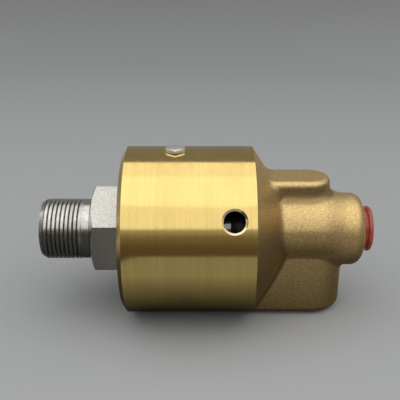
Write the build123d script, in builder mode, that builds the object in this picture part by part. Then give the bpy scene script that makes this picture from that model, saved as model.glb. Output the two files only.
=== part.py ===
from build123d import *
import os
from math import cos, hypot, radians, sin

# Hydraulic rotary union. A steel rotor with a male thread turns in two ball bearings inside a brass
# housing, and a spring presses a stationary carbon ring against the rotor's seal ring.
#
# Millimetres, +Z up. The origin is on the rotor's axis, in the hexagon's shoulder where the threaded
# stem begins. +X runs along the axis into the housing, and the radial port points down.

os.makedirs("parts", exist_ok=True)

# ---------------------------------------------------------------- driving dimensions

# Rotor: the stem of a 3/4 inch parallel pipe thread, a hexagon, a collar and the bearing shaft.
thread_radius = 13.22
thread_length = 22.6
thread_chamfer_length = 1.8
thread_chamfer_depth = 1.3
hex_across_flats = 36.0
hex_length = 12.6
hex_face_set_in = 0.3
hex_chamfer_slope = 0.58
rotor_rest_angle = 27.0
rotor_bore_radius = 8.0
rotor_bore_chamfer = 0.8
collar_radius = 17.5

# Bearings: deep-groove, 30 x 55 x 13 mm, shielded on their outer sides.
bearing_bore_radius = 15.0
bearing_outer_radius = 27.5
bearing_width = 13.0
bearing_edge = 0.8
ball_count = 11
ball_radius = 3.97
ball_clearance = 0.03
groove_conformity = 1.04
inner_shoulder_set_in = 2.15
outer_shoulder_set_out = 2.3
cage_clearance = 0.5
cage_set_in = 1.5
pocket_clearance = 0.2
shield_thickness = 0.5
shield_set_back = 0.3
shield_seat_depth = 0.7
shield_gap = 0.3
spacer_length = 6.0
spacer_wall = 2.8
grease_hole_radius = 2.0
grease_hole_count = 4

# Circlips.
housing_circlip_thickness = 2.0
housing_circlip_width = 3.6
housing_circlip_gap = 40.0
housing_groove_depth = 1.5
rotor_circlip_thickness = 1.5
rotor_circlip_width = 2.8
rotor_circlip_gap = 46.0
rotor_groove_depth = 0.7
circlip_play = 0.15
lug_radius = 2.6
lug_hole_radius = 1.1

# Lip seal in the housing's mouth.
front_gap = 0.5
front_recess = 0.5
front_seal_length = 3.9
front_seal_clearance = 0.1
front_seal_plate = 1.2
front_seal_case = 1.2
front_seal_lip = 0.8
front_land = 0.15

# Rotor's tail, the seal ring on it and the O-ring between them.
tail_land = 1.6
spigot_radius = 12.0
spigot_length = 3.2
seal_ring_radius = 16.0
seal_ring_length = 4.6
seal_ring_bore_radius = 9.0
seal_ring_edge = 0.4
ring_groove_depth = 1.7
ring_groove_width = 2.0
ring_groove_land = 0.5

# Housing, outside: the turned cylinder, the cone and the barrel.
body_radius = 36.5
body_length = 55.8
body_chamfer_depth = 3.0
body_chamfer_length = 1.9
cone_length = 13.3
cone_fillet = 5.0
barrel_radius = 15.9
barrel_length = 34.9
barrel_end_radius = 5.0
mouth_chamfer = 0.8

# Radial port boss, and the pad on the other side.
radial_port_offset = 13.5
boss_half_width = 14.0
boss_depth = 35.2
boss_edge_radius = 2.5
pad_half_width = 9.0
pad_height = 25.3
pad_end_offset = 10.9
pad_edge_radius = 2.6
pad_foot_radius = 5.0
boss_foot_radius = 2.5

# Ports: 1/2 inch below and 3/8 inch at the end, cut to the major diameter of their threads.
radial_port_radius = 10.48
radial_port_length = 14.5
radial_port_chamfer = 1.2
axial_port_radius = 8.33
axial_port_length = 9.5
port_entry_radius = 8.8
port_entry_depth = 4.5
port_entry_chamfer = 0.5
waterway_radius = 7.0

# Vent holes round the seal.
vent_radius = 4.4
vent_chamfer = 0.9
vent_count = 3
vent_first_angle = 60.0
vent_offset = 0.3

# Housing, inside: the seal chamber, the spring pocket and the sleeve's bore.
chamber_set_in = 4.0
chamber_length = 14.2
pocket_radius = 16.4
pocket_length = 12.0
sleeve_bore_length = 9.5
carrier_groove_depth = 2.16
carrier_groove_width = 3.2
carrier_groove_land = 2.0
oring_play = 0.1
oring_corner = 0.6

# Floating seal: the carbon ring, its carrier, the pins that stop it turning, and the spring.
carbon_length = 7.0
carbon_radius = 13.8
carbon_bore_radius = 8.5
carbon_nose_length = 1.5
carbon_nose_inner_radius = 10.2
carbon_nose_outer_radius = 13.0
carrier_recess_depth = 5.0
carrier_wall = 2.2
carrier_floor = 2.5
carrier_bore_radius = 7.5
sleeve_radius = 11.5
sleeve_length = 15.9
sleeve_clearance = 0.04
ear_thickness = 2.0
ear_half_width = 2.9
pin_radius = 1.5
pin_pitch_radius = 19.8
pin_free_length = 5.5
pin_pressed_length = 6.0
pin_clearance = 0.08
spring_mean_radius = 13.6
spring_wire_radius = 0.8
spring_turns = 2.25
spring_play = 0.02
spring_seat_thickness = 1.0
spring_seat_clearance = 0.3

# Grease plug: a small screw plug with a hexagon head.
plug_radius = 3.0
plug_across_flats = 8.0
plug_head_height = 1.6
plug_end_gap = 1.5
plug_chamfer = 0.6
plug_top_set_in = 0.6

# Plastic cap in the axial port.
cap_clearance = 0.05
cap_stem_length = 4.0
cap_collar_radius = 9.7
cap_collar_length = 1.2
cap_neck_radius = 8.9
cap_neck_length = 1.0
cap_rim_radius = 10.0
cap_rim_length = 1.9
cap_rim_round = 0.5
cap_bore_radius = 7.2
cap_floor = 1.5

# ---------------------------------------------------------------- places along the axis

housing_front = hex_length + front_gap
seal_start = housing_front + front_recess
seal_end = seal_start + front_seal_length
housing_groove_start = seal_end + front_land
housing_circlip_start = housing_groove_start + circlip_play
front_bearing_start = housing_circlip_start + housing_circlip_thickness
front_bearing_end = front_bearing_start + bearing_width
rear_bearing_start = front_bearing_end + spacer_length
rear_bearing_end = rear_bearing_start + bearing_width
plug_x = (front_bearing_end + rear_bearing_start) / 2

rotor_groove_end = rear_bearing_end + rotor_circlip_thickness + circlip_play
tail_start = rotor_groove_end + tail_land
ring_groove_start = tail_start + ring_groove_land
ring_groove_end = ring_groove_start + ring_groove_width
spigot_end = tail_start + spigot_length
seal_face = tail_start + seal_ring_length
vent_x = seal_face + vent_offset

chamber_end = rear_bearing_end + chamber_length
pocket_end = chamber_end + pocket_length
carrier_groove_start = pocket_end + carrier_groove_land
carrier_groove_end = carrier_groove_start + carrier_groove_width
sleeve_bore_end = pocket_end + sleeve_bore_length

body_end = housing_front + body_length
cone_end = body_end + cone_length
barrel_end = cone_end + barrel_length
radial_port_x = cone_end + radial_port_offset
radial_port_top = radial_port_chamfer + radial_port_length - boss_depth
pad_end_x = cone_end + pad_end_offset
axial_port_end = barrel_end - port_entry_depth
axial_port_start = axial_port_end - axial_port_length

carbon_end = seal_face + carbon_length
carrier_start = carbon_end - carrier_recess_depth
carrier_end = carbon_end + carrier_floor
sleeve_end = carrier_end + sleeve_length
spring_seat_start = pocket_end - spring_seat_thickness

# ---------------------------------------------------------------- radii that fit one another

ball_pitch_radius = (bearing_bore_radius + bearing_outer_radius) / 2
groove_radius = groove_conformity * ball_radius
inner_shoulder_radius = ball_pitch_radius - inner_shoulder_set_in
outer_shoulder_radius = ball_pitch_radius + outer_shoulder_set_out
chamber_radius = bearing_outer_radius - chamber_set_in
housing_groove_radius = bearing_outer_radius + housing_groove_depth
rotor_groove_radius = bearing_bore_radius - rotor_groove_depth
shield_radius = outer_shoulder_radius + shield_seat_depth
sleeve_bore_radius = sleeve_radius + sleeve_clearance
carrier_groove_radius = sleeve_bore_radius + carrier_groove_depth
ring_groove_radius = spigot_radius - ring_groove_depth
carrier_radius = carbon_radius + carrier_wall


def save(piece, label):
    """Name a finished piece and write its STEP file."""
    piece.part.label = label
    export_step(piece.part, f"parts/{label}.step")


def plane_at(x):
    """The plane across the axis at x: its own x is +Y and its own y is +Z."""
    return Plane.YZ.offset(x)


def turned(*points):
    """A solid turned about the rotor's axis from a closed outline of (x, radius) points."""
    with BuildPart() as piece:
        with BuildSketch(Plane.XZ):
            with BuildLine():
                Polyline(*points, close=True)
            make_face()
        revolve(axis=Axis.X)
    return piece


# ---------------------------------------------------------------- housing
# One brass casting. The cylinder is turned, and the cone, barrel, boss and pad stay as cast.


def cast_block(base, end_x, half_width, height, edge_radius):
    """A block with a round end, from the cone's root to end_x, its outer face rounded off."""
    with BuildPart() as block:
        with BuildSketch(base):
            with Locations((body_end, 0)):
                Rectangle(end_x - body_end, 2 * half_width, align=(Align.MIN, Align.CENTER))
            with Locations((end_x, 0)):
                Circle(half_width)
        extrude(amount=height)
        outline = block.faces().sort_by(Axis((0, 0, 0), base.z_dir))[-1].edges().sort_by(Axis.X)
        fillet(outline[1:], radius=edge_radius)
    return block


port_boss = cast_block(
    Plane.XY.rotated((180, 0, 0)), radial_port_x, boss_half_width, boss_depth, boss_edge_radius
)
top_pad = cast_block(Plane.XY, pad_end_x, pad_half_width, pad_height, pad_edge_radius)

main_bore = turned(
    (housing_front, 0),
    (housing_front, bearing_outer_radius + mouth_chamfer),
    (housing_front + mouth_chamfer, bearing_outer_radius),
    (housing_groove_start, bearing_outer_radius),
    (housing_groove_start, housing_groove_radius),
    (front_bearing_start, housing_groove_radius),
    (front_bearing_start, bearing_outer_radius),
    (rear_bearing_end, bearing_outer_radius),
    (rear_bearing_end, chamber_radius),
    (chamber_end, chamber_radius),
    (chamber_end, pocket_radius),
    (pocket_end, pocket_radius),
    (pocket_end, sleeve_bore_radius),
    (carrier_groove_start, sleeve_bore_radius),
    (carrier_groove_start, carrier_groove_radius),
    (carrier_groove_end, carrier_groove_radius),
    (carrier_groove_end, sleeve_bore_radius),
    (sleeve_bore_end, sleeve_bore_radius),
    (sleeve_bore_end, waterway_radius),
    (axial_port_start, waterway_radius),
    (axial_port_start, axial_port_radius),
    (axial_port_end, axial_port_radius),
    (axial_port_end, port_entry_radius),
    (barrel_end - port_entry_chamfer, port_entry_radius),
    (barrel_end, port_entry_radius + port_entry_chamfer),
    (barrel_end, 0),
)

with BuildPart() as housing:
    with BuildSketch(Plane.XZ):
        with BuildLine():
            FilletPolyline(
                (body_end, body_radius),
                (cone_end, barrel_radius),
                (barrel_end, barrel_radius),
                (barrel_end, 0),
                radius=(cone_fillet, barrel_end_radius),
            )
            Polyline(
                (barrel_end, 0),
                (housing_front, 0),
                (housing_front, body_radius - body_chamfer_depth),
                (housing_front + body_chamfer_length, body_radius),
                (body_end, body_radius),
            )
        make_face()
    revolve(axis=Axis.X)
    for block, foot_radius in ((top_pad, pad_foot_radius), (port_boss, boss_foot_radius)):
        add(block.part)
        fillet(housing.edges(Select.NEW), radius=foot_radius)
    add(main_bore.part, mode=Mode.SUBTRACT)

    # the radial port: a chamfered mouth, the threaded length, then the waterway up to the axis
    port_plane = Plane(origin=(radial_port_x, 0, 0), x_dir=(1, 0, 0), z_dir=(0, -1, 0))
    with BuildSketch(port_plane):
        with BuildLine():
            Polyline(
                (0, 0),
                (waterway_radius, 0),
                (waterway_radius, radial_port_top),
                (radial_port_radius, radial_port_top),
                (radial_port_radius, radial_port_chamfer - boss_depth),
                (radial_port_radius + radial_port_chamfer, -boss_depth),
                (0, -boss_depth),
                close=True,
            )
        make_face()
    revolve(axis=Axis((radial_port_x, 0, 0), (0, 0, 1)), mode=Mode.SUBTRACT)

    # vent holes through the wall of the seal chamber, each with a chamfered mouth
    for index in range(vent_count):
        turn = radians(vent_first_angle + index * 360 / vent_count)
        outward = (0, -sin(turn), cos(turn))
        with BuildSketch(Plane(origin=(vent_x, 0, 0), x_dir=(1, 0, 0), z_dir=outward)):
            Circle(vent_radius)
        extrude(amount=body_radius, mode=Mode.SUBTRACT)
        rims = housing.edges(Select.LAST).filter_by(GeomType.LINE, reverse=True)
        chamfer(rims.sort_by_distance((vent_x, 0, 0))[-1], length=vent_chamfer)

    # the grease plug's hole, and the blind holes that hold the two pins
    with BuildSketch(Plane.XY):
        with Locations((plug_x, 0)):
            Circle(plug_radius)
    extrude(amount=body_radius, mode=Mode.SUBTRACT)
    with BuildSketch(plane_at(chamber_end)):
        with Locations((-pin_pitch_radius, 0), (pin_pitch_radius, 0)):
            Circle(pin_radius)
    extrude(amount=pin_pressed_length, mode=Mode.SUBTRACT)

save(housing, "housing")

# ---------------------------------------------------------------- rotor
# Stainless steel: threaded stem, hexagon, seal collar, bearing shaft and the spigot at its tail.

corner_radius = hex_across_flats / 2 / cos(radians(30))
face_radius = hex_across_flats / 2 - hex_face_set_in

hexagon_cone = turned(
    (0, 0),
    (0, face_radius),
    ((corner_radius - face_radius) * hex_chamfer_slope, corner_radius),
    (hex_length, corner_radius),
    (hex_length, 0),
)

with BuildPart() as hexagon:
    with BuildSketch(plane_at(0)):
        RegularPolygon(corner_radius, 6, rotation=-rotor_rest_angle)
    extrude(amount=hex_length)
    add(hexagon_cone.part, mode=Mode.INTERSECT)

shaft = turned(
    (-thread_length, 0),
    (-thread_length, thread_radius - thread_chamfer_depth),
    (thread_chamfer_length - thread_length, thread_radius),
    (hex_length, thread_radius),
    (hex_length, collar_radius),
    (front_bearing_start, collar_radius),
    (front_bearing_start, bearing_bore_radius),
    (rear_bearing_end, bearing_bore_radius),
    (rear_bearing_end, rotor_groove_radius),
    (rotor_groove_end, rotor_groove_radius),
    (rotor_groove_end, bearing_bore_radius),
    (tail_start, bearing_bore_radius),
    (tail_start, spigot_radius),
    (ring_groove_start, spigot_radius),
    (ring_groove_start, ring_groove_radius),
    (ring_groove_end, ring_groove_radius),
    (ring_groove_end, spigot_radius),
    (spigot_end, spigot_radius),
    (spigot_end, 0),
)

rotor_bore = turned(
    (-thread_length, 0),
    (-thread_length, rotor_bore_radius + rotor_bore_chamfer),
    (rotor_bore_chamfer - thread_length, rotor_bore_radius),
    (spigot_end, rotor_bore_radius),
    (spigot_end, 0),
)

with BuildPart() as rotor:
    add(shaft.part)
    add(hexagon.part)
    add(rotor_bore.part, mode=Mode.SUBTRACT)

save(rotor, "rotor")

# ---------------------------------------------------------------- bearings
# The outer rings stay with the housing, the inner rings turn with the rotor, and each cage carries
# its balls round between them. The shields sit in the outer rings, on the sides that face away from
# the grease space.

groove_shift = groove_radius - ball_radius - ball_clearance
seat_width = shield_set_back + shield_thickness

for side, start, shielded_face, inward in (
    ("front", front_bearing_start, front_bearing_start, 1),
    ("rear", rear_bearing_start, rear_bearing_end, -1),
):
    middle = start + bearing_width / 2

    with BuildPart() as outer_ring:
        with BuildSketch(Plane.XZ) as section:
            with Locations((start, outer_shoulder_radius)):
                Rectangle(bearing_width, bearing_outer_radius - outer_shoulder_radius, align=Align.MIN)
            chamfer(section.vertices().group_by(Axis.Y)[-1], length=bearing_edge)
            with Locations((middle, ball_pitch_radius - groove_shift)):
                Circle(groove_radius, mode=Mode.SUBTRACT)
            with Locations((shielded_face + inward * seat_width / 2, outer_shoulder_radius)):
                Rectangle(seat_width, 2 * shield_seat_depth, mode=Mode.SUBTRACT)
        revolve(axis=Axis.X)
    save(outer_ring, f"{side}_bearing_outer_ring")

    with BuildPart() as inner_ring:
        with BuildSketch(Plane.XZ) as section:
            with Locations((start, bearing_bore_radius)):
                Rectangle(bearing_width, inner_shoulder_radius - bearing_bore_radius, align=Align.MIN)
            chamfer(section.vertices().group_by(Axis.Y)[0], length=bearing_edge)
            with Locations((middle, ball_pitch_radius + groove_shift)):
                Circle(groove_radius, mode=Mode.SUBTRACT)
        revolve(axis=Axis.X)
    save(inner_ring, f"{side}_bearing_inner_ring")

    with BuildPart(plane_at(middle)) as balls:
        with PolarLocations(ball_pitch_radius, ball_count):
            Sphere(ball_radius)
    save(balls, f"{side}_bearing_balls")

    with BuildPart(plane_at(middle)) as cage:
        Cylinder(outer_shoulder_radius - cage_clearance, bearing_width - 2 * cage_set_in)
        Cylinder(inner_shoulder_radius + cage_clearance, bearing_width - 2 * cage_set_in, mode=Mode.SUBTRACT)
        with PolarLocations(ball_pitch_radius, ball_count):
            Cylinder(
                ball_radius + pocket_clearance,
                2 * ball_radius,
                rotation=(0, 90, 0),
                mode=Mode.SUBTRACT,
            )
    save(cage, f"{side}_bearing_cage")

    with BuildPart() as shield:
        with BuildSketch(plane_at(shielded_face + inward * shield_set_back)):
            Circle(shield_radius)
            Circle(inner_shoulder_radius + shield_gap, mode=Mode.SUBTRACT)
        extrude(amount=inward * shield_thickness)
    save(shield, f"{side}_bearing_shield")

# The two spacers hold the bearings apart, and the outer one lets the grease through.

with BuildPart() as outer_spacer:
    with BuildSketch(plane_at(front_bearing_end)):
        Circle(bearing_outer_radius)
        Circle(bearing_outer_radius - spacer_wall, mode=Mode.SUBTRACT)
    extrude(amount=spacer_length)
    for index in range(grease_hole_count):
        turn = radians(index * 360 / grease_hole_count)
        outward = (0, sin(turn), cos(turn))
        with BuildSketch(Plane(origin=(plug_x, 0, 0), x_dir=(1, 0, 0), z_dir=outward)):
            Circle(grease_hole_radius)
        extrude(amount=bearing_outer_radius, mode=Mode.SUBTRACT)
save(outer_spacer, "outer_spacer")

with BuildPart() as inner_spacer:
    with BuildSketch(plane_at(front_bearing_end)):
        Circle(bearing_bore_radius + spacer_wall)
        Circle(bearing_bore_radius, mode=Mode.SUBTRACT)
    extrude(amount=spacer_length)
save(inner_spacer, "inner_spacer")

# ---------------------------------------------------------------- circlips and front seal
# Each circlip is an open ring with two lugs, and holes in them for the pliers.


def circlip(x, inner_radius, outer_radius, gap_angle, lug_pitch_radius, thickness):
    """An open ring with its gap at the bottom and a lug at each end."""
    with BuildPart() as ring:
        with BuildSketch(plane_at(x)):
            Circle(outer_radius)
            Circle(inner_radius, mode=Mode.SUBTRACT)
            reach = 2 * outer_radius
            half_gap = radians(gap_angle / 2)
            corner = (reach * sin(half_gap), -reach * cos(half_gap))
            Polygon((0, 0), corner, (-corner[0], corner[1]), align=None, mode=Mode.SUBTRACT)
            lug_turn = half_gap + lug_radius / lug_pitch_radius
            lug_place = (lug_pitch_radius * sin(lug_turn), -lug_pitch_radius * cos(lug_turn))
            with Locations(lug_place, (-lug_place[0], lug_place[1])):
                Circle(lug_radius)
                Circle(lug_hole_radius, mode=Mode.SUBTRACT)
        extrude(amount=thickness)
    return ring


housing_circlip = circlip(
    housing_circlip_start,
    housing_groove_radius - housing_circlip_width,
    housing_groove_radius,
    housing_circlip_gap,
    housing_groove_radius - housing_circlip_width,
    housing_circlip_thickness,
)
save(housing_circlip, "housing_circlip")

rotor_circlip = circlip(
    rear_bearing_end,
    rotor_groove_radius,
    rotor_groove_radius + rotor_circlip_width,
    rotor_circlip_gap,
    rotor_groove_radius + rotor_circlip_width,
    rotor_circlip_thickness,
)
save(rotor_circlip, "rotor_circlip")

lip_radius = collar_radius + front_seal_clearance

front_seal = turned(
    (seal_start, bearing_outer_radius),
    (seal_end, bearing_outer_radius),
    (seal_end, bearing_outer_radius - front_seal_case),
    (seal_start + front_seal_plate, bearing_outer_radius - front_seal_case),
    (seal_start + front_seal_plate, lip_radius + 2 * front_seal_lip),
    (seal_end - front_seal_lip, lip_radius + front_seal_lip),
    (seal_end - front_seal_lip, lip_radius),
    (seal_start, lip_radius),
)
save(front_seal, "front_seal")

# ---------------------------------------------------------------- seal ring on the rotor's tail

rotating_seal_ring = turned(
    (tail_start, spigot_radius),
    (tail_start, seal_ring_radius - seal_ring_edge),
    (tail_start + seal_ring_edge, seal_ring_radius),
    (seal_face - seal_ring_edge, seal_ring_radius),
    (seal_face, seal_ring_radius - seal_ring_edge),
    (seal_face, seal_ring_bore_radius),
    (spigot_end, seal_ring_bore_radius),
    (spigot_end, spigot_radius),
)
save(rotating_seal_ring, "rotating_seal_ring")


def oring(start, end, inner_radius, outer_radius):
    """A rubber ring pressed to fill its groove."""
    with BuildPart() as ring:
        with BuildSketch(Plane.XZ):
            with Locations(((start + end) / 2, (inner_radius + outer_radius) / 2)):
                RectangleRounded(
                    end - start - 2 * oring_play, outer_radius - inner_radius, oring_corner
                )
        revolve(axis=Axis.X)
    return ring


seal_ring_oring = oring(ring_groove_start, ring_groove_end, ring_groove_radius, spigot_radius)
save(seal_ring_oring, "seal_ring_oring")

# ---------------------------------------------------------------- floating seal
# The carbon ring sits in the carrier's cup. The carrier's sleeve slides in the housing's bore
# through an O-ring, and its two ears slide on the pins.

nose_end = seal_face + carbon_nose_length

carbon_seal_ring = turned(
    (seal_face, carbon_nose_inner_radius),
    (seal_face, carbon_nose_outer_radius),
    (nose_end, carbon_nose_outer_radius),
    (nose_end, carbon_radius),
    (carbon_end, carbon_radius),
    (carbon_end, carbon_bore_radius),
    (nose_end, carbon_bore_radius),
    (nose_end, carbon_nose_inner_radius),
)
save(carbon_seal_ring, "carbon_seal_ring")

carrier_cup = turned(
    (carrier_start, carbon_radius),
    (carrier_start, carrier_radius),
    (carrier_end, carrier_radius),
    (carrier_end, sleeve_radius),
    (sleeve_end, sleeve_radius),
    (sleeve_end, carrier_bore_radius),
    (carbon_end, carrier_bore_radius),
    (carbon_end, carbon_radius),
)

with BuildPart() as seal_carrier:
    add(carrier_cup.part)
    with BuildSketch(plane_at(carrier_start)):
        SlotCenterToCenter(2 * pin_pitch_radius, 2 * ear_half_width)
        Circle(carbon_radius, mode=Mode.SUBTRACT)
        with Locations((-pin_pitch_radius, 0), (pin_pitch_radius, 0)):
            Circle(pin_radius + pin_clearance, mode=Mode.SUBTRACT)
    extrude(amount=ear_thickness)
save(seal_carrier, "seal_carrier")

carrier_oring = oring(
    carrier_groove_start, carrier_groove_end, sleeve_bore_radius, carrier_groove_radius
)
save(carrier_oring, "carrier_oring")

with BuildPart() as anti_rotation_pins:
    with BuildSketch(plane_at(chamber_end - pin_free_length)):
        with Locations((-pin_pitch_radius, 0), (pin_pitch_radius, 0)):
            Circle(pin_radius)
    extrude(amount=pin_free_length + pin_pressed_length)
save(anti_rotation_pins, "anti_rotation_pins")

with BuildPart() as spring_seat:
    with BuildSketch(plane_at(spring_seat_start)):
        Circle(pocket_radius - spring_seat_clearance)
        Circle(sleeve_radius + spring_seat_clearance, mode=Mode.SUBTRACT)
    extrude(amount=spring_seat_thickness)
save(spring_seat, "spring_seat")

spring_start = carrier_end + spring_wire_radius + spring_play
spring_height = spring_seat_start - spring_wire_radius - spring_play - spring_start

with BuildPart() as seal_spring:
    with BuildLine() as coil:
        Helix(
            pitch=spring_height / spring_turns,
            height=spring_height,
            radius=spring_mean_radius,
            center=(spring_start, 0, 0),
            direction=(1, 0, 0),
        )
    with BuildSketch(Plane(origin=coil.line @ 0, z_dir=coil.line % 0)):
        Circle(spring_wire_radius)
    sweep(is_frenet=True)
save(seal_spring, "seal_spring")

# ---------------------------------------------------------------- grease plug

plug_corner_radius = plug_across_flats / 2 / cos(radians(30))

with BuildPart() as grease_plug:
    with BuildSketch(Plane((plug_x, 0, body_radius))):
        RegularPolygon(plug_corner_radius, 6, rotation=90)
    extrude(amount=plug_head_height)
    with BuildSketch(Plane(origin=(plug_x, 0, 0), x_dir=(1, 0, 0), z_dir=(0, -1, 0))):
        with BuildLine():
            Polyline(
                (0, body_radius),
                (plug_corner_radius, body_radius),
                (plug_corner_radius, body_radius + plug_head_height - plug_chamfer),
                (plug_across_flats / 2 - plug_top_set_in, body_radius + plug_head_height),
                (0, body_radius + plug_head_height),
                close=True,
            )
        make_face()
    revolve(axis=Axis((plug_x, 0, 0), (0, 0, 1)), mode=Mode.INTERSECT)
    with BuildSketch(Plane((plug_x, 0, body_radius))):
        Circle(plug_radius)
    extrude(amount=bearing_outer_radius + plug_end_gap - body_radius)
save(grease_plug, "grease_plug")

# ---------------------------------------------------------------- port cap
# A hollow push-in cap of soft plastic: a short stem in the port's plain entry, a collar on the
# face, and a rim to pull it by.

stem_radius = port_entry_radius - cap_clearance
neck_start = barrel_end + cap_collar_length
rim_start = neck_start + cap_neck_length
rim_end = rim_start + cap_rim_length
stem_start = barrel_end - cap_stem_length

with BuildPart() as port_cap:
    with BuildSketch(Plane.XZ):
        with BuildLine():
            FilletPolyline(
                (rim_start, cap_neck_radius),
                (rim_start, cap_rim_radius),
                (rim_end, cap_rim_radius),
                (rim_end, cap_bore_radius),
                radius=(cap_rim_round, cap_rim_round),
            )
            Polyline(
                (rim_end, cap_bore_radius),
                (stem_start + cap_floor, cap_bore_radius),
                (stem_start + cap_floor, 0),
                (stem_start, 0),
                (stem_start, stem_radius),
                (barrel_end, stem_radius),
                (barrel_end, cap_collar_radius),
                (neck_start, cap_collar_radius),
                (neck_start, cap_neck_radius),
                (rim_start, cap_neck_radius),
            )
        make_face()
    revolve(axis=Axis.X)
save(port_cap, "port_cap")
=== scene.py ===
from math import cos, hypot, pi, radians, sin, sqrt

import bmesh
import bpy
from mathutils import Matrix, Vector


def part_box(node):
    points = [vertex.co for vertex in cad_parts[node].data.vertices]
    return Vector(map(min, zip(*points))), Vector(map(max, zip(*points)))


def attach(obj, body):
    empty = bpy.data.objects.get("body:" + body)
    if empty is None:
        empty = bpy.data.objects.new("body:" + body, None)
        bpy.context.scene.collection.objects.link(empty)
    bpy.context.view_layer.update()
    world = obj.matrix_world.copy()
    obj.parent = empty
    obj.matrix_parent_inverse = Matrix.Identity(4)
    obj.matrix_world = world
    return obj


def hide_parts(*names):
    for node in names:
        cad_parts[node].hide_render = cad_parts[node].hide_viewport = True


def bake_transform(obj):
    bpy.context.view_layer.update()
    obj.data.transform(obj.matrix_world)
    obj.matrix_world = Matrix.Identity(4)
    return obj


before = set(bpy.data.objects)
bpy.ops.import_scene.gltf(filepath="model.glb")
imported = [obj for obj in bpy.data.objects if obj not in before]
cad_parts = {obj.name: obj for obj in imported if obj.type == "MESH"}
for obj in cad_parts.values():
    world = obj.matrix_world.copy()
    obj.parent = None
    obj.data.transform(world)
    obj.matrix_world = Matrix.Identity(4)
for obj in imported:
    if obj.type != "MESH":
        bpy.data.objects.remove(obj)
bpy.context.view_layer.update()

# Hydraulic rotary union: a steel rotor with a male thread turns in a brass housing that carries the
# fluid to a port below and a capped port at the end. Sizes are in millimetres until a mesh is made.
MM = 0.001
scene = bpy.context.scene
scene.view_settings.view_transform = "Standard"

# ------------------------------------------------------------------ camera, floor and light
# The camera looks down a little at the near side. Three panels of one large softbox hang overhead,
# dark cards that only mirrors see stand in front of the object and lie at its foot, and the room
# beyond is dim. The card at the foot is painted shadow: the object's shade on the floor, seen in
# reflections.

floor_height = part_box("housing")[0].z
camera_rise = radians(26.2)
camera_tilt = radians(90 - 23.81)
camera_distance = 0.301
camera_along = 0.04626
camera_data = bpy.data.cameras.new("studio_camera")
camera_data.sensor_width = 36
camera_data.lens = 60.93
camera_data.clip_start = 0.01
camera = bpy.data.objects.new("studio_camera", camera_data)
camera.location = (camera_along, -camera_distance * cos(camera_rise), camera_distance * sin(camera_rise))
camera.rotation_euler = (camera_tilt, 0, 0)
scene.collection.objects.link(camera)
scene.camera = camera


def material(name):
    """A new material, its node tree, its shader, and a texture coordinate in the object's own space."""
    made = bpy.data.materials.new(name)
    made.use_nodes = True
    tree = made.node_tree
    place = tree.nodes.new("ShaderNodeTexCoord")
    return made, tree, tree.nodes["Principled BSDF"], place.outputs["Object"]


def node(tree, kind, **settings):
    """A new node, with its settings and the values or links for its inputs."""
    made = tree.nodes.new(kind)
    for key, value in settings.items():
        if key.startswith("in_"):
            socket = made.inputs[int(key[3:])] if key[3:].isdigit() else made.inputs[key[3:]]
            if isinstance(value, bpy.types.NodeSocket):
                tree.links.new(value, socket)
            else:
                socket.default_value = value
        else:
            setattr(made, key, value)
    return made


def math(tree, operation, first, second=0.0, third=0.0):
    """The output of a math node."""
    return node(tree, "ShaderNodeMath", operation=operation, in_0=first, in_1=second, in_2=third).outputs[0]


def ramp(tree, value, *stops):
    """Colours at the given places along a value, as (place, colour) pairs."""
    made = node(tree, "ShaderNodeValToRGB", in_Fac=value)
    elements = made.color_ramp.elements
    while len(elements) < len(stops):
        elements.new(0.5)
    for element, (at, colour) in zip(elements, stops):
        element.position = at
        element.color = (*colour, 1)
    return made.outputs[0]


def card(name, corners, axis, low, high, *stops):
    """A flat card of the stage in matt paper, shaded from low to high along one axis of its own, or
    with its distance from the middle where no axis is given."""
    mesh = bpy.data.meshes.new(name)
    mesh.from_pydata(corners, [], [(0, 1, 2, 3)])
    made = bpy.data.objects.new(name, mesh)
    scene.collection.objects.link(made)
    paper, tree, shader, place = material(name)
    away = node(tree, "ShaderNodeVectorMath", operation="LENGTH", in_0=place).outputs["Value"]
    if axis is not None:
        away = node(tree, "ShaderNodeSeparateXYZ", in_0=place).outputs[axis]
    share = node(tree, "ShaderNodeMapRange", in_0=away, in_1=low, in_2=high)
    tree.links.new(ramp(tree, share.outputs[0], *stops), shader.inputs["Base Color"])
    shader.inputs["Roughness"].default_value = 0.9
    shader.inputs["Specular IOR Level"].default_value = 0.1
    mesh.materials.append(paper)
    return made


# paler far away, where less light falls on it, so that it runs into the room without a dark edge
floor_tone = (0.41, 0.425, 0.44)
floor = card("floor", [(-6, -6, 0), (6, -6, 0), (6, 6, 0), (-6, 6, 0)], None, 0.5, 2.5,
             (0, floor_tone), (0.45, (0.72, 0.73, 0.74)), (1, (0.96, 0.96, 0.96)))
floor.location.z = floor_height
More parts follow.
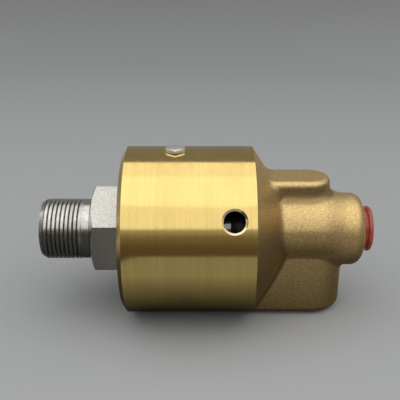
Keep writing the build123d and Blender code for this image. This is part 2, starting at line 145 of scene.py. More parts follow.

# an upright card, brighter towards its top, and a card on the floor, darkest under the object; each
# has an end beside the stem and an end beside the body. The card on the floor is painted shadow: in
# reflections it shows the floor darker, darkest where the object's contact shadow falls, and both
# cards are painted darker at the stem's end, as shade
card_near = -0.235
card_top = 0.108
card_shades = ((0, (0.095, 0.072, 0.056)), (0.30, (0.115, 0.088, 0.070)), (0.62, (0.20, 0.165, 0.14)),
               (0.80, (0.36, 0.32, 0.29)))
card_edge = (0.85, 0.82, 0.78)
foot_far = 0.035
foot_lift = 0.0004
painted_contact_shadow = (0.06, 0.06, 0.057)
for end, left, right, foot_left, foot_right, strength, foot_painted_shade in (
    ("stem", -0.6, -0.022, -0.6, 0.001, 1.0, 0.05),
    ("body", -0.022, 0.7, 0.001, 0.7, 2.0, 0.28),
):
    shades = [(at, tuple(value * strength for value in shade)) for at, shade in card_shades]
    upright = card(f"flag_card_{end}",
                   [(left, card_near, floor_height), (right, card_near, floor_height),
                    (right, card_near, card_top), (left, card_near, card_top)],
                   2, -0.04, 0.12, *shades, (1, card_edge))
    # painted shadow: the lying card darkens the floor in reflections, most under the object and beside the
    # stem
    shadow_card = card(f"flag_foot_{end}",
                 [(foot_left, card_near, 0), (foot_right, card_near, 0),
                  (foot_right, foot_far, 0), (foot_left, foot_far, 0)],
                 1, -0.075, foot_far, (0, (foot_painted_shade, foot_painted_shade, foot_painted_shade)), (0.5, painted_contact_shadow),
                 (0.73, painted_contact_shadow), (1, floor_tone))
    shadow_card.location.z = floor_height + foot_lift
    for flag in (upright, shadow_card):
        flag.visible_camera = flag.visible_shadow = flag.visible_diffuse = False

softbox_height = 0.62
softbox_width = 2.4
softbox_along = 0.05
for panel, near_edge, far_edge, glow in (
    ("front", -1.50, -0.42, 0.87), ("middle", -0.42, 0.08, 1.16), ("rear", 0.08, 0.43, 0.96),
):
    softbox_data = bpy.data.lights.new(f"softbox_{panel}", "AREA")
    softbox_data.shape = "RECTANGLE"
    softbox_data.size = softbox_width
    softbox_data.size_y = far_edge - near_edge
    softbox_data.energy = glow * softbox_width * (far_edge - near_edge) * pi
    softbox_data.color = (1.0, 0.985, 0.96)
    softbox = bpy.data.objects.new(f"softbox_{panel}", softbox_data)
    softbox.location = (softbox_along, (near_edge + far_edge) / 2, softbox_height)
    softbox.visible_camera = False
    scene.collection.objects.link(softbox)

world = bpy.data.worlds.new("dim_room")
world.use_nodes = True
world.node_tree.nodes["Background"].inputs["Color"].default_value = (0.86, 0.86, 0.84, 1)
world.node_tree.nodes["Background"].inputs["Strength"].default_value = 0.245
scene.world = world

# ------------------------------------------------------------------ brass housing
# One sand casting in brass. The big cylinder, the bores and the vent holes are turned and bored
# bright, and the cone, barrel, pad and boss keep the grainy skin of the casting.

body_radius = 36.5
body_end = 68.9
mouth_end = 16
bore_depth = 1.1
rim_depth = 0.08
cone_slope = 20.6 / 13.3
pad_half = 9.0
pad_end = 93.1


def stretched(tree, place, scale):
    """The object's coordinates stretched by a different scale along each axis."""
    return node(tree, "ShaderNodeMapping", in_Vector=place, in_Scale=scale).outputs[0]


def noise(tree, place, scale, detail=2.0, roughness=0.5):
    """A noise value from nought to one."""
    return node(tree, "ShaderNodeTexNoise", in_Vector=place, in_Scale=scale, in_Detail=detail,
                in_Roughness=roughness).outputs[0]


def mixed(tree, share, first, second):
    """Two colours mixed by a share."""
    made = node(tree, "ShaderNodeMix", data_type="RGBA", in_0=share)
    for socket, value in ((made.inputs[6], first), (made.inputs[7], second)):
        if isinstance(value, bpy.types.NodeSocket):
            tree.links.new(value, socket)
        else:
            socket.default_value = (*value, 1)
    return made.outputs[2]


def spread(tree, value, low=0.33, high=0.67):
    """A noise value spread out to fill nought to one."""
    return node(tree, "ShaderNodeMapRange", in_0=value, in_1=low, in_2=high).outputs[0]


def smooth(tree, value, low, high):
    """A smooth step of a length, from nought at low to one at high, both in millimetres."""
    return node(tree, "ShaderNodeMapRange", interpolation_type="SMOOTHSTEP", in_0=value, in_1=low * MM,
                in_2=high * MM).outputs[0]


def times(tree, *values):
    """The product of several values."""
    made = values[0]
    for value in values[1:]:
        made = math(tree, "MULTIPLY", made, value)
    return made


def plus(tree, *values):
    """The sum of several values."""
    made = values[0]
    for value in values[1:]:
        made = math(tree, "ADD", made, value)
    return made


def hypotenuse(tree, first, second):
    """The distance that two sides at a right angle span."""
    return math(tree, "SQRT", plus(tree, math(tree, "POWER", first, 2.0), math(tree, "POWER", second, 2.0)))


def between(tree, share, first, second):
    """Two numbers mixed by a share."""
    return node(tree, "ShaderNodeMix", data_type="FLOAT", in_0=share, in_2=first, in_3=second).outputs[0]


def bumped(tree, shader, height, strength, depth):
    """Give a shader its bump from a height."""
    bump = node(tree, "ShaderNodeBump", in_Height=height, in_Strength=strength, in_Distance=depth)
    tree.links.new(bump.outputs[0], shader.inputs["Normal"])


# the turned part ends at the cone, and behind the mouth everything under the skin is painted near black, as
# the shade inside the holes
brass, tree, shader, place = material("cast_brass")
along, across, up = node(tree, "ShaderNodeSeparateXYZ", in_0=place).outputs
radius = hypotenuse(tree, across, up)
turned_share = math(tree, "LESS_THAN", along, (body_end + 0.02) * MM)
under_skin = math(tree, "LESS_THAN", radius, (body_radius - bore_depth) * MM)
behind_mouth = math(tree, "GREATER_THAN", along, mouth_end * MM)
# painted shade: the holes' walls and everything inside them go near black
inside = times(tree, under_skin, behind_mouth, turned_share)

# tool marks run round the axis, so the turned finish changes mostly along it, with stains over it that
# grow darker towards the bottom, partly real stains and partly painted shade, and a painted highlight
# at the holes' rims
fine_marks = spread(tree, noise(tree, stretched(tree, place, (2600, 45, 45)), 1.0, 3.0, 0.65))
broad_marks = spread(tree, noise(tree, stretched(tree, place, (620, 14, 14)), 1.0, 2.0, 0.5))
cloud = spread(tree, noise(tree, place, 55.0, 4.0, 0.65))
specks = spread(tree, noise(tree, place, 950.0, 3.0, 0.7))
low = smooth(tree, up, -8, -37)
turned_colour = mixed(tree, times(tree, cloud, 0.45), (0.93, 0.715, 0.27), (0.80, 0.58, 0.20))
marks = plus(tree, times(tree, fine_marks, 0.16), times(tree, broad_marks, 0.10), times(tree, specks, 0.12))
turned_colour = mixed(tree, marks, turned_colour, (0.50, 0.34, 0.11))
# darker towards the bottom: partly real stains, partly painted shade
stain_and_shade = times(tree, low, math(tree, "MULTIPLY_ADD", cloud, 0.5, 0.1))
turned_colour = mixed(tree, stain_and_shade, turned_colour, (0.25, 0.17, 0.075))
# painted highlight: a nearly white ring round the rims of the holes
rim_highlight = times(tree, math(tree, "LESS_THAN", radius, (body_radius - rim_depth) * MM), behind_mouth)
turned_colour = mixed(tree, times(tree, rim_highlight, 0.7), turned_colour, (0.99, 0.93, 0.76))

# sand casting: fine pits and grains, with darker and lighter specks, and painted shade on the cone and
# in the crease along the pad's side
grain = noise(tree, place, 2300.0, 2.0, 0.75)
lumps = noise(tree, place, 420.0, 2.0, 0.5)
cast_colour = ramp(tree, grain, (0.30, (0.36, 0.245, 0.105)), (0.50, (0.76, 0.55, 0.245)),
                   (0.70, (0.99, 0.80, 0.44)))
cast_colour = mixed(tree, times(tree, lumps, 0.3), cast_colour, (0.55, 0.37, 0.14))
# painted shade on the cone and in the crease along the pad's side, where shade falls
cone_radius = math(tree, "MULTIPLY_ADD", along, -cone_slope, (body_radius + body_end * cone_slope) * MM)
off_cone = math(tree, "ABSOLUTE", math(tree, "SUBTRACT", radius, cone_radius))
cone_shade = times(tree, smooth(tree, off_cone, 3.5, 0.8), smooth(tree, up, 24, 6))
past_pad = math(tree, "MAXIMUM", math(tree, "SUBTRACT", along, pad_end * MM), 0.0)
from_pad = hypotenuse(tree, past_pad, across)
off_pad = math(tree, "ABSOLUTE", math(tree, "SUBTRACT", from_pad, (pad_half + 0.6) * MM))
pad_wall_shade = times(tree, smooth(tree, off_pad, 2.4, 0.6), smooth(tree, up, 14, 17), smooth(tree, up, 25, 22.5))
painted_shade = times(tree, math(tree, "MAXIMUM", cone_shade, pad_wall_shade), 0.5)
cast_colour = mixed(tree, painted_shade, cast_colour, (0.10, 0.075, 0.045))
skin = mixed(tree, turned_share, cast_colour, turned_colour)
tree.links.new(mixed(tree, inside, skin, (0.03, 0.022, 0.012)), shader.inputs["Base Color"])
shader.inputs["Metallic"].default_value = 1.0
turned_rough = math(tree, "MULTIPLY_ADD", plus(tree, broad_marks, cloud), 0.045, 0.085)
cast_rough = math(tree, "MULTIPLY_ADD", grain, 0.12, 0.42)
rough = between(tree, inside, between(tree, turned_share, cast_rough, turned_rough), 0.55)
tree.links.new(rough, shader.inputs["Roughness"])
turned_height = times(tree, plus(tree, broad_marks, specks, cloud), 0.06)
cast_height = plus(tree, grain, times(tree, lumps, 1.4))
bumped(tree, shader, between(tree, turned_share, cast_height, turned_height), 0.4, 0.0001)
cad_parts["housing"].material_slots[0].material = brass

# ------------------------------------------------------------------ cast shoulder
# The casting is fuller where the pad stands on the neck. This skin of cast brass swells from the
# neck beside the pad, blends into the pad's foot and the cone, and dies away towards the barrel's end.

neck_start = 75.5
neck_step = 0.5
neck_slices = 76
neck_radius = 15.9
neck_skin = 0.05
neck_core = 14.3
turn_step = 0.75
lowest_turn = -24
highest_turn = 204
swell_height = 3.6
swell_taper = (97, 110)
swell_foot = (-26, 24)
pad_foot_blend = 3.0
pad_tuck = 2
cone_blend = 3.0


def eased(low, high, value):
    """A smooth step from nought at low to one at high."""
    share = min(1, max(0, (value - low) / (high - low)))
    return share * share * (3 - 2 * share)


def shoulder_point(x, turn):
    """A point of the shoulder's outer skin, at x and an angle from the side up over the top."""
    taper = 1 - eased(*swell_taper, x)
    swell = neck_radius + swell_height * taper * eased(*swell_foot, min(turn, 180 - turn))
    cone = body_radius - (x - body_end) * cone_slope
    overlap = max(0, 1 - abs(swell - cone) / cone_blend)
    reach = max(swell, cone) + overlap * overlap * cone_blend / 4 - neck_skin
    y, z = reach * cos(radians(turn)), reach * sin(radians(turn))
    beside = hypot(max(x - pad_end, 0), y) - pad_half
    if z > 0 and beside < pad_foot_blend:
        inward = min(1, 1 - beside / pad_foot_blend)
        rise = pad_foot_blend * (1 - sqrt(1 - inward * inward)) + min(pad_tuck, 5 * max(0, -beside))
        z += rise * eased(-1.5, 1.0, swell - cone)
    return (x * MM, -y * MM, z * MM)


def core_point(x, turn):
    """A point of the shoulder's inner skin, which is buried in the neck."""
    return (x * MM, -neck_core * cos(radians(turn)) * MM, neck_core * sin(radians(turn)) * MM)


shell = bmesh.new()
skins = []
turns = [turn_step * step for step in range(int(lowest_turn / turn_step), int(highest_turn / turn_step) + 1)]
for index in range(neck_slices):
    x = neck_start + index * neck_step
    outer = [shell.verts.new(shoulder_point(x, turn)) for turn in turns]
    inner = [shell.verts.new(core_point(x, turn)) for turn in reversed(turns)]
    skins.append(outer + inner)
for first, second in zip(skins, skins[1:]):
    for index in range(len(first)):
        after = (index + 1) % len(first)
        shell.faces.new((first[index], second[index], second[after], first[after])).smooth = True
shell.faces.new(skins[0])
shell.faces.new(reversed(skins[-1]))
bmesh.ops.recalc_face_normals(shell, faces=shell.faces)
shoulder_mesh = bpy.data.meshes.new("neck_shoulder")
shell.to_mesh(shoulder_mesh)
shell.free()
shoulder_mesh.materials.append(brass)
shoulder_mesh.set_sharp_from_angle(angle=radians(60))
shoulder = bpy.data.objects.new("neck_shoulder", shoulder_mesh)
scene.collection.objects.link(shoulder)
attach(shoulder, "housing")

# ------------------------------------------------------------------ rotor
# Stainless steel, turned from hexagon bar. The stem carries a left-hand 3/4 inch pipe thread with a
# chamfered start, the hexagon takes a spanner, and the shaft behind it runs in the bearings.

pipe_pitch = 25.4 / 14
stem_radius = 13.22
stem_length = 22.6
stem_start = 12.1
stem_core = 13.1
thread_depth = 1.162
thread_finish = -4.3
relief_start = -1.25
relief_radius = 12.2
hexagon_foot = 17.7
hexagon_flats = 36.0
hexagon_length = 12.6
hexagon_turn = radians(-27)
collar_radius = 17.5
collar_end = 19.8
shaft_radius = 15
shaft_end = 55.05
circlip_start = 51.8
circlip_end = 53.45
circlip_radius = 14.3
spigot_radius = 12
spigot_end = 58.25
oring_start = 55.55
oring_end = 57.55
oring_radius = 10.3
bore_radius = 8
bore_chamfer = 0.8
around = 144


def thread_tree():
    """Geometry nodes for one helical thread along X: a grid whose rows follow the helix."""
    tree = bpy.data.node_groups.new("helical_thread", "GeometryNodeTree")
    tree.interface.new_socket("Geometry", in_out="OUTPUT", socket_type="NodeSocketGeometry")
    for name, kind, value in (
        ("Start", "Float", 0.0), ("Finish", "Float", 0.02), ("Pitch", "Float", 0.0018),
        ("Crest Radius", "Float", 0.013), ("Depth", "Float", 0.0011), ("Hand", "Float", 1.0),
        ("Start Radius", "Float", 0.012), ("Start Slope", "Float", 0.7), ("Run-out", "Float", 0.001),
        ("Finish Radius", "Float", 0.013), ("Inside", "Bool", False), ("Around", "Int", 144),
        ("Turn", "Float", 0.0), ("Rows per Turn", "Int", 16), ("Material", "Material", None),
    ):
        socket = tree.interface.new_socket(name, in_out="INPUT", socket_type=f"NodeSocket{kind}")
        if value is not None:
            socket.default_value = value
    given = tree.nodes.new("NodeGroupInput").outputs

    def do(operation, *values):
        return math(tree, operation, *values)

    # the grid covers the thread and a turn and a half more at each end, squeezed back to its ends
    turns = do("ADD", do("DIVIDE", do("SUBTRACT", given["Finish"], given["Start"]), given["Pitch"]), 3.0)
    rows = do("CEIL", do("MULTIPLY", turns, given["Rows per Turn"]))
    grid = node(tree, "GeometryNodeMeshGrid")
    tree.links.new(do("ADD", rows, 1.0), grid.inputs["Vertices X"])
    tree.links.new(do("ADD", given["Around"], 1.0), grid.inputs["Vertices Y"])
    here = node(tree, "ShaderNodeSeparateXYZ", in_0=tree.nodes.new("GeometryNodeInputPosition").outputs[0])
    turn = do("DIVIDE", do("MULTIPLY", do("ADD", here.outputs[0], 0.5), rows), given["Rows per Turn"])
    share = do("ADD", here.outputs[1], 0.5)
    sideways = do("MULTIPLY", do("SUBTRACT", share, 0.5), given["Hand"])
    lead = do("MULTIPLY", do("ADD", do("SUBTRACT", turn, 1.5), sideways), given["Pitch"])
    along = do("MINIMUM", do("MAXIMUM", do("ADD", given["Start"], lead), given["Start"]), given["Finish"])

    # rounded crests and roots, a run-out at the finish and a chamfer at the start
    flank = do("MULTIPLY", do("PINGPONG", turn, 0.5), 2.0)
    groove = node(tree, "ShaderNodeMapRange", interpolation_type="SMOOTHSTEP",
                  in_0=flank, in_1=0.55, in_2=1.0)
    side = do("SUBTRACT", 1.0, do("MULTIPLY", given["Inside"], 2.0))
    cut = do("MULTIPLY", do("MULTIPLY", groove.outputs[0], given["Depth"]), side)
    cut_radius = do("SUBTRACT", given["Crest Radius"], cut)
    fade = node(tree, "ShaderNodeMapRange", interpolation_type="SMOOTHSTEP", in_0=along,
                in_1=do("SUBTRACT", given["Finish"], given["Run-out"]), in_2=given["Finish"],
                in_3=cut_radius, in_4=given["Finish Radius"])
    from_start = do("SUBTRACT", along, given["Start"])
    chamfer_radius = do("MULTIPLY_ADD", from_start, given["Start Slope"], given["Start Radius"])
    size = do("MINIMUM", do("MULTIPLY", fade.outputs[0], side), do("MULTIPLY", chamfer_radius, side))
    size = do("MULTIPLY", size, side)
    angle = do("MULTIPLY_ADD", share, 2 * pi, given["Turn"])
    place = node(tree, "ShaderNodeCombineXYZ", in_0=along, in_1=do("MULTIPLY", size, do("COSINE", angle)),
                 in_2=do("MULTIPLY", size, do("SINE", angle)))
    moved = node(tree, "GeometryNodeSetPosition", in_Geometry=grid.outputs[0], in_Position=place.outputs[0])
    flipped = node(tree, "GeometryNodeFlipFaces", in_Mesh=moved.outputs[0],
                   in_Selection=do("SUBTRACT", 1.0, given["Inside"]))
    merged = node(tree, "GeometryNodeMergeByDistance", in_Geometry=flipped.outputs[0], in_Distance=1e-6)
    smoothed = node(tree, "GeometryNodeSetShadeSmooth", in_0=merged.outputs[0])
    real = node(tree, "GeometryNodeRealizeInstances", in_0=smoothed.outputs[0])
    coated = node(tree, "GeometryNodeSetMaterial", in_0=real.outputs[0], in_Material=given["Material"])
    node(tree, "NodeGroupOutput", in_0=coated.outputs[0])
    return tree


def grown(name, tree, **values):
    """The mesh that a geometry node tree makes with the given inputs."""
    holder = bpy.data.objects.new(name, bpy.data.meshes.new(name))
    scene.collection.objects.link(holder)
    modifier = holder.modifiers.new(name, "NODES")
    modifier.node_group = tree
    for socket in tree.interface.items_tree:
        if socket.in_out == "INPUT":
            value = values.get(socket.name.lower().replace(" ", "_").replace("-", "_"))
            if value is not None:
                modifier[socket.identifier] = value
    made = bpy.data.meshes.new_from_object(holder.evaluated_get(bpy.context.evaluated_depsgraph_get()))
    holder.modifiers.remove(modifier)
    bpy.data.objects.remove(holder)
    return made


def turned(name, outline, coats, turn=0.0, sides=around):
    """A mesh turned about X. The outline runs clockwise as (along, radius, coat) with +X right and
    the radius up; along and radius may be functions of the angle, and a radius of nought is a pole."""
    body = bmesh.new()
    rings = []
    for along, radius, coat in outline:
        ring = []
        for index in range(sides):
            angle = 2 * pi * index / sides
            x = along(angle) if callable(along) else along
            r = radius(angle) if callable(radius) else radius
            ring.append(body.verts.new((x * MM, r * cos(angle + turn) * MM, r * sin(angle + turn) * MM)))
        rings.append(ring)
    for first, second, (_, _, coat) in zip(rings, rings[1:], outline):
        for index in range(sides):
            after = (index + 1) % sides
            face = body.faces.new((first[index], first[after], second[after], second[index]))
            face.material_index = coat
            face.smooth = True
    bmesh.ops.remove_doubles(body, verts=body.verts, dist=2e-7)
    made = bpy.data.meshes.new(name)
    body.to_mesh(made)
    body.free()
    for coat in coats:
        made.materials.append(coat)
    return made


def joined(name, meshes, body, slot, *replaced, sharp=32):
    """One piece from several meshes: doubles merged, edges sharpened, riding on its body."""
    work = bmesh.new()
    coats = []
    for mesh in meshes:
        first = len(work.faces)
        work.from_mesh(mesh)
        work.faces.ensure_lookup_table()
        for face in work.faces[first:]:
            coat = mesh.materials[face.material_index]
            if coat not in coats:
                coats.append(coat)
            face.material_index = coats.index(coat)
    bmesh.ops.remove_doubles(work, verts=work.verts, dist=2e-6)
    bmesh.ops.dissolve_degenerate(work, edges=work.edges, dist=1e-7)
    made = bpy.data.meshes.new(name)
    work.to_mesh(made)
    work.free()
    for coat in coats:
        made.materials.append(coat)
    made.set_sharp_from_angle(angle=radians(sharp))
    piece = bpy.data.objects.new(name, made)
    scene.collection.objects.link(piece)
    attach(piece, body)
    if replaced:
        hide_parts(*replaced)
    return piece


def steel(name, colour, roughness, marks, grains, relief):
    """Bright steel with tool marks that run round the X axis and a fine grain."""
    made, tree, shader, place = material(name)
    rings = noise(tree, stretched(tree, place, (marks, 20, 20)), 1.0, 2.0, 0.6)
    speck = spread(tree, noise(tree, place, grains, 2.0, 0.6))
    darker = tuple(value * 0.74 for value in colour)
    tree.links.new(mixed(tree, speck, colour, darker), shader.inputs["Base Color"])
    shader.inputs["Metallic"].default_value = 1.0
    tree.links.new(math(tree, "MULTIPLY_ADD", speck, 0.14, roughness), shader.inputs["Roughness"])
    bumped(tree, shader, math(tree, "MULTIPLY_ADD", rings, 0.8, speck), relief, 0.00006)
    return made


def dark_roots(made, start, root, crest, root_shade):
    """Paint shade into a thread's roots past its chamfered start, by the distance from the axis."""
    tree = made.node_tree
    shader = tree.nodes["Principled BSDF"]
    bright = shader.inputs["Base Color"].links[0].from_socket
    place = tree.nodes["Texture Coordinate"].outputs["Object"]
    along, across, up = node(tree, "ShaderNodeSeparateXYZ", in_0=place).outputs
    share = node(tree, "ShaderNodeMapRange", interpolation_type="SMOOTHSTEP",
                 in_0=hypotenuse(tree, across, up), in_1=crest * MM, in_2=root * MM, in_4=0.6)
    past = math(tree, "GREATER_THAN", along, start * MM)
    shaded_roots = mixed(tree, times(tree, share.outputs[0], past), bright, root_shade)
    tree.links.new(shaded_roots, shader.inputs["Base Color"])
    return made


turned_steel = steel("turned_stainless", (0.66, 0.65, 0.62), 0.16, 900, 300, 0.05)
bar_steel = steel("hexagon_bar", (0.70, 0.685, 0.645), 0.36, 500, 1500, 0.5)


def hexagon(angle, flats, broken):
    """A hexagon's radius at an angle: half the flats over the cosine, less at the broken corners."""
    return min(flats / 2 / cos((angle % (pi / 3)) - pi / 6), flats / 2 / cos(pi / 6) - broken)


def hexagon_radius(angle):
    """The spanner hexagon, its corners just broken."""
    return hexagon(angle, hexagon_flats, 0.12)


def hexagon_edge(angle):
    """Where the turned chamfer leaves each flat."""
    return (hexagon_radius(angle) - hexagon_flats / 2 + 0.3) * 0.58


# the stem thread's roots take painted shade
thread_steel = dark_roots(
    steel("threaded_stainless", (0.68, 0.67, 0.64), 0.20, 900, 300, 0.04),
    start=2.2 - stem_length, root=12.08, crest=12.3, root_shade=(0.07, 0.07, 0.07))
thread_nodes = thread_tree()
stem_thread = grown(
    "stem_thread", thread_nodes, start=-stem_length * MM, finish=thread_finish * MM, pitch=pipe_pitch * MM,
    crest_radius=stem_radius * MM, depth=thread_depth * MM, hand=-1.0, start_radius=stem_start * MM,
    start_slope=0.55, run_out=1.1 * MM, finish_radius=stem_core * MM, inside=False, around=around,
    turn=hexagon_turn, rows_per_turn=26, material=thread_steel)
rotor_body = turned("rotor_body", [
    (thread_finish, stem_core, 0), (relief_start, stem_core, 0),
    (relief_start + 0.15, relief_radius, 0), (0, relief_radius, 0),
    (0, hexagon_foot, 0), (hexagon_edge, hexagon_radius, 1), (hexagon_length, hexagon_radius, 0),
    (hexagon_length, collar_radius, 0), (collar_end, collar_radius, 0),
    (collar_end, shaft_radius, 0), (circlip_start, shaft_radius, 0),
    (circlip_start, circlip_radius, 0), (circlip_end, circlip_radius, 0),
    (circlip_end, shaft_radius, 0), (shaft_end, shaft_radius, 0),
    (shaft_end, spigot_radius, 0), (oring_start, spigot_radius, 0),
    (oring_start, oring_radius, 0), (oring_end, oring_radius, 0),
    (oring_end, spigot_radius, 0), (spigot_end, spigot_radius, 0),
    (spigot_end, bore_radius, 0), (bore_chamfer - stem_length, bore_radius, 0),
    (-stem_length, bore_radius + bore_chamfer, 0), (-stem_length, stem_start, 0),
], [turned_steel, bar_steel], turn=hexagon_turn)
joined("rotor_steel", [stem_thread, rotor_body], "rotor", "stainless_steel", "rotor")

# ------------------------------------------------------------------ grease plug
# A small plated screw plug with a chamfered hexagon head. It closes the filling hole over the
# bearings' grease space.

plug_low, plug_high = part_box("grease_plug")
plug_x = (plug_low.x + plug_high.x) / 2 / MM
plug_flats = 8.0
screw_end = 29.0
screw_radius = 3.0
screw_chamfer = 0.4
head_start = 36.55
head_top = plug_high.z / MM
head_face = 3.4
face_edge = 0.1


def plug_radius(angle):
    """The plug's hexagon, its corners just broken."""
    return hexagon(angle, plug_flats, 0.06)


def plug_edge(angle):
    """How high the chamfer leaves each flat."""
    return head_top - face_edge - (plug_radius(angle) - head_face) * 0.32


zinc, tree, shader, place = material("zinc_plate")
bloom = noise(tree, place, 700.0, 3.0, 0.6)
plating = ramp(tree, bloom, (0.35, (0.78, 0.80, 0.78)), (0.7, (0.94, 0.96, 0.96)))
tree.links.new(plating, shader.inputs["Base Color"])
shader.inputs["Metallic"].default_value = 1.0
tree.links.new(math(tree, "MULTIPLY_ADD", bloom, 0.12, 0.36), shader.inputs["Roughness"])
bumped(tree, shader, bloom, 0.2, 0.00005)

plug_mesh = turned("grease_plug_head", [
    (screw_end, 0, 0), (screw_end, screw_radius - screw_chamfer, 0),
    (screw_end + screw_chamfer, screw_radius, 0), (head_start, screw_radius, 0),
    (head_start, plug_radius, 0), (plug_edge, plug_radius, 0),
    (head_top - face_edge, head_face, 0), (head_top, head_face - 0.3, 0), (head_top, 0, 0),
], [zinc], sides=96)
plug_mesh.transform(Matrix.Translation((plug_x * MM, 0, 0)) @ Matrix.Rotation(-pi / 2, 4, "Y"))
joined("grease_plug_screw", [plug_mesh], "housing", "plated_steel", "grease_plug", sharp=20)

# ------------------------------------------------------------------ port cap
# A hollow push-in cap of soft red plastic, pulled out by its rim before the pipe goes in.

red, tree, shader, place = material("red_plastic")
flow = noise(tree, place, 260.0, 2.0, 0.5)
pores = noise(tree, place, 3000.0, 2.0, 0.6)
reds = ramp(tree, flow, (0.30, (0.36, 0.048, 0.028)), (0.75, (0.48, 0.085, 0.048)))
tree.links.new(reds, shader.inputs["Base Color"])
tree.links.new(math(tree, "MULTIPLY_ADD", pores, 0.12, 0.22), shader.inputs["Roughness"])
shader.inputs["Subsurface Weight"].default_value = 0.05
shader.inputs["Subsurface Radius"].default_value = (0.002, 0.0006, 0.0004)
shader.inputs["Subsurface Scale"].default_value = 0.4
shader.inputs["Coat Weight"].default_value = 0.35
shader.inputs["Coat Roughness"].default_value = 0.10
bumped(tree, shader, pores, 0.15, 0.00004)

cap_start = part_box("port_cap")[0].x / MM
cap_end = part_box("port_cap")[1].x / MM
barrel_end = cap_start + 4.0
barrel_radius = 8.75
collar_top = 9.7
waist_radius = 8.9
grip_start = barrel_end + 2.2
grip_radius = 10.0
grip_round = 1.1
hollow_radius = 7.2
hollow_end = cap_start + 1.5
rounding = [(cap_end - grip_round + grip_round * sin(radians(turn)),
             grip_radius - grip_round + grip_round * cos(radians(turn)), 0) for turn in range(15, 91, 15)]
cap_mesh = turned("port_cap_body", [
    (cap_start, 0, 0), (cap_start, barrel_radius - 0.4, 0), (cap_start + 0.4, barrel_radius, 0),
    (barrel_end, barrel_radius, 0), (barrel_end, collar_top - 0.15, 0), (barrel_end + 0.15, collar_top, 0),
    (barrel_end + 1.05, collar_top, 0), (barrel_end + 1.2, collar_top - 0.15, 0),
    (barrel_end + 1.25, waist_radius + 0.05, 0), (barrel_end + 1.4, waist_radius, 0),
    (grip_start - 0.1, waist_radius, 0), (grip_start, waist_radius + 0.1, 0),
    (grip_start, grip_radius - 0.3, 0), (grip_start + 0.15, grip_radius - 0.1, 0),
    (grip_start + 0.4, grip_radius, 0), (cap_end - grip_round, grip_radius, 0), *rounding,
    (cap_end, hollow_radius + 0.4, 0), (cap_end - 0.15, hollow_radius + 0.1, 0),
    (cap_end - 0.4, hollow_radius, 0), (hollow_end + 0.3, hollow_radius, 0),
    (hollow_end, hollow_radius - 0.3, 0), (hollow_end, 0, 0),
], [red])
joined("red_port_cap", [cap_mesh], "port_cap", "red_plastic", "port_cap", sharp=35)

# ------------------------------------------------------------------ threads in the two ports
# Right-hand pipe threads cut in the brass: half inch in the boss, three eighths in the barrel's end.
# Each is a thin ring inside the plain bore, with the thread on its inner side.

half_inch_pitch = 25.4 / 14
three_eighths_pitch = 25.4 / 19
radial_port_x = 95.7

port_brass = steel("threaded_brass", (0.80, 0.58, 0.24), 0.22, 900, 300, 0.05)


def port_thread(name, start, finish, pitch, wall_radius, depth, place):
    """A threaded ring with its mouth at the start, put in place by a matrix."""
    inner = wall_radius - depth
    outer = wall_radius - 0.02
    mouth = wall_radius - 0.06
    cut = grown(name, thread_nodes, start=start * MM, finish=finish * MM, pitch=pitch * MM,
                crest_radius=inner * MM, depth=depth * 0.92 * MM, hand=1.0, start_radius=mouth * MM,
                start_slope=-0.8, run_out=1.5 * MM, finish_radius=inner * MM, inside=True, around=96,
                turn=0.0, rows_per_turn=12, material=port_brass)
    outline = [(start, mouth, 0), (start, outer, 0), (finish, outer, 0), (finish, inner, 0)]
    back = turned(name + "_back", outline, [port_brass], sides=96)
    for mesh in (cut, back):
        mesh.transform(place)
    joined(name, [cut, back], "housing", "cast_brass")


downward = Matrix.Translation((radial_port_x * MM, 0, 0)) @ Matrix.Rotation(-pi / 2, 4, "Y")
port_thread("radial_port_thread", start=-34.0, finish=-19.5, pitch=half_inch_pitch,
            wall_radius=10.48, depth=1.16, place=downward)
outward = Matrix.Rotation(pi, 4, "Z")
port_thread("axial_port_thread", start=-112.6, finish=-103.1, pitch=three_eighths_pitch,
            wall_radius=8.33, depth=0.86, place=outward)

# ------------------------------------------------------------------ inside parts
# Bearings, spacers, circlips, seals and pins, as carried over from the CAD, each in its own finish:
# ground steel, pressed brass, ceramic, carbon, rubber and spring steel. The seal carrier is painted
# near black, as shade, so that it stays dark inside the vent.


def finished(name, metallic, dark, light, roughness, grains, stretch=(1, 1, 1), depth=0.00003):
    """A finish for one sort of inside part: two colours, a grain, and a bump from the same grain."""
    made, tree, shader, place = material(name)
    seen = stretched(tree, place, stretch)
    value = noise(tree, seen, grains, 3.0, 0.6)
    tree.links.new(ramp(tree, value, (0.3, dark), (0.7, light)), shader.inputs["Base Color"])
    shader.inputs["Metallic"].default_value = metallic
    tree.links.new(math(tree, "MULTIPLY_ADD", value, 0.15, roughness), shader.inputs["Roughness"])
    bumped(tree, shader, value, 0.25, depth)
    return made


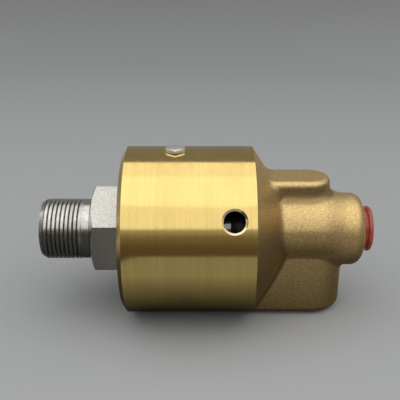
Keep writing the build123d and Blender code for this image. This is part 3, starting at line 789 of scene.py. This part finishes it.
ground_steel = finished("ground_steel", 1.0, (0.50, 0.50, 0.50), (0.68, 0.68, 0.67), 0.14, 900, (4, 1, 1))
pressed_brass = finished("pressed_brass", 1.0, (0.62, 0.44, 0.18), (0.80, 0.60, 0.28), 0.30, 1500)
spring_steel = finished("spring_steel", 1.0, (0.22, 0.22, 0.23), (0.36, 0.36, 0.37), 0.32, 1800)
seal_steel = finished("seal_steel", 1.0, (0.34, 0.34, 0.34), (0.46, 0.45, 0.44), 0.30, 1200, (3, 1, 1))
ceramic = finished("hard_ceramic", 0.0, (0.03, 0.03, 0.03), (0.06, 0.06, 0.06), 0.04, 2600, depth=0.000002)
ceramic.node_tree.nodes["Principled BSDF"].inputs["IOR"].default_value = 2.65
# painted shade: the seal carrier is painted near black so that it stays dark inside the vent
oiled_steel = finished("oiled_steel", 1.0, (0.045, 0.045, 0.048), (0.09, 0.09, 0.09), 0.34, 1500)
carbon = finished("carbon", 0.0, (0.012, 0.012, 0.013), (0.045, 0.045, 0.048), 0.42, 3200)
rubber = finished("seal_rubber", 0.0, (0.010, 0.010, 0.010), (0.030, 0.030, 0.031), 0.55, 2600)

finishes = {
    "bearing_outer_ring": ground_steel, "bearing_inner_ring": ground_steel,
    "bearing_balls": ground_steel, "bearing_cage": pressed_brass, "bearing_shield": seal_steel,
    "outer_spacer": pressed_brass, "inner_spacer": pressed_brass, "circlip": spring_steel,
    "front_seal": rubber, "rotating_seal_ring": ceramic, "oring": rubber, "carbon_seal_ring": carbon,
    "seal_carrier": oiled_steel, "anti_rotation_pin": ground_steel, "spring_seat": seal_steel,
}
for name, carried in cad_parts.items():
    for part, finish in finishes.items():
        if part in name:
            carried.material_slots[0].material = finish

# ------------------------------------------------------------------ seal spring
# A round-wire compression spring that holds the carbon ring against the rotor's seal ring. In the real
# union its coils close up between the sliding carrier and the fixed seat as the seal moves back; here
# the CAD's coil is copied as it stands.

spring_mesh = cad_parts["seal_spring"].data.copy()
spring = bpy.data.objects.new("seal_spring_coil", spring_mesh)
scene.collection.objects.link(spring)
spring.material_slots[0].material = spring_steel
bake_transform(spring)
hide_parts("seal_spring")
